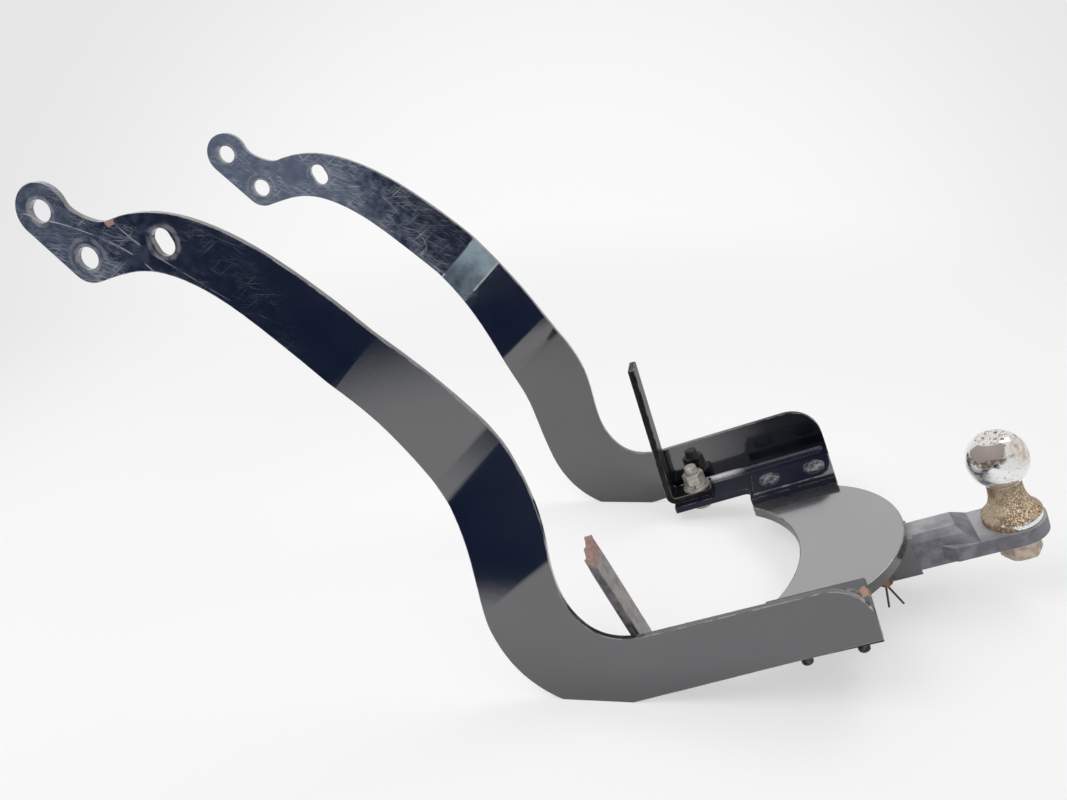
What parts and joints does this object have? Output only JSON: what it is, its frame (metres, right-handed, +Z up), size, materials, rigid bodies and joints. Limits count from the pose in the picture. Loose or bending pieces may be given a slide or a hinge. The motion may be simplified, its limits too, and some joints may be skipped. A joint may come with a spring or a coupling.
{
  "type": "motorcycle trailer hitch",
  "caption": "Black steel trailer hitch for a motorcycle: bent plate side arms, a crescent cross plate, a square receiver with drawbar and chromed tow ball, and upright strut bars.",
  "frame": {"origin": "centre of the tow ball", "axes": "+X to the rear, from the arms' heads to the ball; +Z up, along the ball's shank, with the lower bars level as they hang on the motorcycle; +Y to the right"},
  "size_m": [0.606, 0.3196, 0.5633],
  "materials": {
    "black_paint": "gloss",
    "worn_strut": "worn",
    "bright_weld": "satin",
    "rusty_weld": "rough",
    "grey_steel": "matt",
    "ball_chrome": "pitted",
    "rusty_steel": "rough",
    "dark_steel": "satin",
    "zinc": "dull"
  },
  "bodies": {
    "frame": {"left_arm": "black_paint", "right_arm": "black_paint", "left_flange": "black_paint", "right_flange": "black_paint", "left_strap_plate": "black_paint", "right_strap_plate": "black_paint", "crescent_plate": "black_paint", "receiver_tube": "black_paint", "left_flange_weld": "bright_weld", "right_flange_weld": "bright_weld", "receiver_weld": "rusty_weld", "left_carriage_bolts": "dark_steel", "left_carriage_nuts": "dark_steel", "left_carriage_lock_washers": "dark_steel", "left_strut_bolt": "zinc", "left_strut_nut": "zinc", "left_strut_washer": "zinc", "left_strut_lock_washer": "zinc", "right_carriage_bolts": "dark_steel", "right_carriage_nuts": "dark_steel", "right_carriage_lock_washers": "dark_steel", "right_strut_bolt": "zinc", "right_strut_nut": "zinc", "right_strut_washer": "zinc", "right_strut_lock_washer": "zinc"},
    "drawbar": {"drawbar": "grey_steel", "tow_ball": "ball_chrome", "ball_lock_washer": "rusty_steel", "ball_nut": "rusty_steel"},
    "hitch_pin": {"hitch_pin": "rusty_steel", "cotter_pin": "dark_steel"},
    "left_strut": {"left_strut": "worn_strut"},
    "right_strut": {"right_strut": "black_paint"}
  },
  "joints": [
    {"name": "drawbar_play", "type": "slide", "parent": "frame", "child": "drawbar", "axis": [1, 0, 0], "range_m": [-0.0005, 0.0005]},
    {"name": "hitch_pin_turn", "type": "hinge", "parent": "frame", "child": "hitch_pin", "pos_m": [-0.1105, 0, -0.05755], "axis": [0, 1, 0], "range_deg": [-105, 115]},
    {"name": "left_strut_swivel", "type": "hinge", "parent": "frame", "child": "left_strut", "pos_m": [-0.2548, -0.1355, -0.02265], "axis": [0, 0, 1], "range_deg": [-9, 4]},
    {"name": "right_strut_swivel", "type": "hinge", "parent": "frame", "child": "right_strut", "pos_m": [-0.2548, 0.1355, -0.02265], "axis": [0, 0, 1], "range_deg": [-4, 9]}
  ]
}
